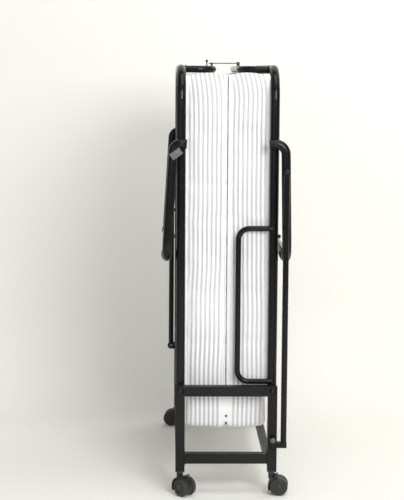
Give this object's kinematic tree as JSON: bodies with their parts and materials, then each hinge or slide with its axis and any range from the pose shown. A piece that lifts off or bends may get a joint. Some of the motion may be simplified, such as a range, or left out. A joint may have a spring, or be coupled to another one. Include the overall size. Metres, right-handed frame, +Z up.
{
  "type": "folding cot",
  "caption": "Folding cot on castors: a tube frame in two slatted halves that fold up around a striped mattress, with folding legs and a latch.",
  "frame": {"origin": "on the floor, midway between the four castors, with the cot folded", "axes": "+Z up; X the direction in which the cot opens; Y along the width of the bed, with the near end at -Y"},
  "size_m": [0.3516, 0.866, 1.1759],
  "materials": {
    "frame_black": "gloss powder coat",
    "stand_black": "satin powder coat",
    "plastic_black": "moulded",
    "rubber_black": "matt",
    "castor_body": "fine grain",
    "castor_wheel": "satin, scuffed tread",
    "bolt_dark": "black zinc",
    "zinc": "zinc plated",
    "slat_wood": "clear lacquer",
    "ticking": "woven stripe"
  },
  "bodies": {
    "stand": {"stand_near": "stand_black", "stand_far": "stand_black", "stand_ties": "stand_black", "castor_sockets": "plastic_black", "hinge_bolts": "bolt_dark", "rod_lug": "stand_black", "rod_bolts": "zinc"},
    "right_half": {"right_frame": "frame_black", "right_deck_bar": "frame_black", "right_rail_plugs": "plastic_black", "right_end_bow": "frame_black", "right_guard": "frame_black", "right_leg_bolts": "bolt_dark", "right_stops": "rubber_black", "right_slat_clips": "plastic_black", "right_mattress": "ticking", "right_slat_1": "slat_wood", "right_slat_2": "slat_wood", "right_slat_3": "slat_wood", "right_slat_4": "slat_wood", "right_slat_5": "slat_wood", "right_slat_6": "slat_wood", "right_slat_7": "slat_wood", "latch_post": "bolt_dark"},
    "left_half": {"left_frame": "frame_black", "left_deck_bar": "frame_black", "left_rail_plugs": "plastic_black", "left_end_bow": "frame_black", "left_guard": "frame_black", "left_leg_bolts": "bolt_dark", "left_stops": "rubber_black", "left_slat_clips": "plastic_black", "left_mattress": "ticking", "left_slat_1": "slat_wood", "left_slat_2": "slat_wood", "left_slat_3": "slat_wood", "left_slat_4": "slat_wood", "left_slat_5": "slat_wood", "left_slat_6": "slat_wood", "left_slat_7": "slat_wood", "latch_keeper": "bolt_dark"},
    "right_leg": {"right_leg": "frame_black", "right_leg_feet": "rubber_black", "right_leg_plate": "zinc"},
    "left_leg": {"left_leg": "frame_black", "left_leg_feet": "rubber_black", "left_leg_plate": "zinc"},
    "right_rod": {"right_rod": "frame_black", "right_rod_bolt": "bolt_dark"},
    "left_rod": {"left_rod": "frame_black", "left_rod_bolt": "bolt_dark"},
    "latch_wire": {"latch_wire": "zinc"},
    "castor_near_left": {"castor_near_left": "castor_body"},
    "wheels_near_left": {"wheels_near_left": "castor_wheel"},
    "castor_near_right": {"castor_near_right": "castor_body"},
    "wheels_near_right": {"wheels_near_right": "castor_wheel"},
    "castor_far_left": {"castor_far_left": "castor_body"},
    "wheels_far_left": {"wheels_far_left": "castor_wheel"},
    "castor_far_right": {"castor_far_right": "castor_body"},
    "wheels_far_right": {"wheels_far_right": "castor_wheel"}
  },
  "joints": [
    {"name": "right_fold", "type": "hinge", "parent": "stand", "child": "right_half", "pos_m": [0.125, 0, 0.287], "axis": [0, 1, 0], "range_deg": [0, 90]},
    {"name": "left_fold", "type": "hinge", "parent": "stand", "child": "left_half", "pos_m": [-0.125, 0, 0.287], "axis": [0, -1, 0], "range_deg": [0, 90]},
    {"name": "right_leg_fold", "type": "hinge", "parent": "right_half", "child": "right_leg", "pos_m": [0.125, 0, 0.954], "axis": [0, -1, 0], "range_deg": [0, 112]},
    {"name": "left_leg_fold", "type": "hinge", "parent": "left_half", "child": "left_leg", "pos_m": [-0.125, 0, 0.954], "axis": [0, 1, 0], "range_deg": [0, 111]},
    {"name": "right_rod_turn", "type": "hinge", "parent": "stand", "child": "right_rod", "pos_m": [0.125, -0.411, 0.157], "axis": [0, 1, 0], "range_deg": [0, 82]},
    {"name": "left_rod_turn", "type": "hinge", "parent": "stand", "child": "left_rod", "pos_m": [-0.148, 0.411, 0.262], "axis": [0, -1, 0], "range_deg": [0, 90]},
    {"name": "latch_lift", "type": "hinge", "parent": "right_half", "child": "latch_wire", "pos_m": [0.0375, -0.1, 1.1665], "axis": [0, 1, 0], "range_deg": [0, 100]},
    {"name": "near_left_swivel", "type": "hinge", "parent": "stand", "child": "castor_near_left", "pos_m": [-0.125, -0.3875, 0.05], "axis": [0, 0, 1], "continuous": true},
    {"name": "near_left_roll", "type": "hinge", "parent": "castor_near_left", "child": "wheels_near_left", "pos_m": [-0.11162, -0.40236, 0.025], "axis": [0.7431, 0.6691, 0], "continuous": true},
    {"name": "near_right_swivel", "type": "hinge", "parent": "stand", "child": "castor_near_right", "pos_m": [0.125, -0.3875, 0.05], "axis": [0, 0, 1], "continuous": true},
    {"name": "near_right_roll", "type": "hinge", "parent": "castor_near_right", "child": "wheels_near_right", "pos_m": [0.14489, -0.38959, 0.025], "axis": [0.1045, 0.9945, 0], "continuous": true},
    {"name": "far_left_swivel", "type": "hinge", "parent": "stand", "child": "castor_far_left", "pos_m": [-0.125, 0.3875, 0.05], "axis": [0, 0, 1], "continuous": true},
    {"name": "far_left_roll", "type": "hinge", "parent": "castor_far_left", "child": "wheels_far_left", "pos_m": [-0.14489, 0.38959, 0.025], "axis": [-0.1045, -0.9945, 0], "continuous": true},
    {"name": "far_right_swivel", "type": "hinge", "parent": "stand", "child": "castor_far_right", "pos_m": [0.125, 0.3875, 0.05], "axis": [0, 0, 1], "continuous": true},
    {"name": "far_right_roll", "type": "hinge", "parent": "castor_far_right", "child": "wheels_far_right", "pos_m": [0.11162, 0.40236, 0.025], "axis": [-0.7431, -0.6691, 0], "continuous": true}
  ],
  "couplings": [
    {"joint": "left_fold", "follows": "right_fold", "ratio": 1},
    {"joint": "right_leg_fold", "follows": "right_fold", "ratio": 1.2405},
    {"joint": "left_leg_fold", "follows": "right_fold", "ratio": 1.2301},
    {"joint": "right_rod_turn", "follows": "right_fold", "ratio": 0.90952},
    {"joint": "left_rod_turn", "follows": "right_fold", "ratio": 0.98915}
  ]
}
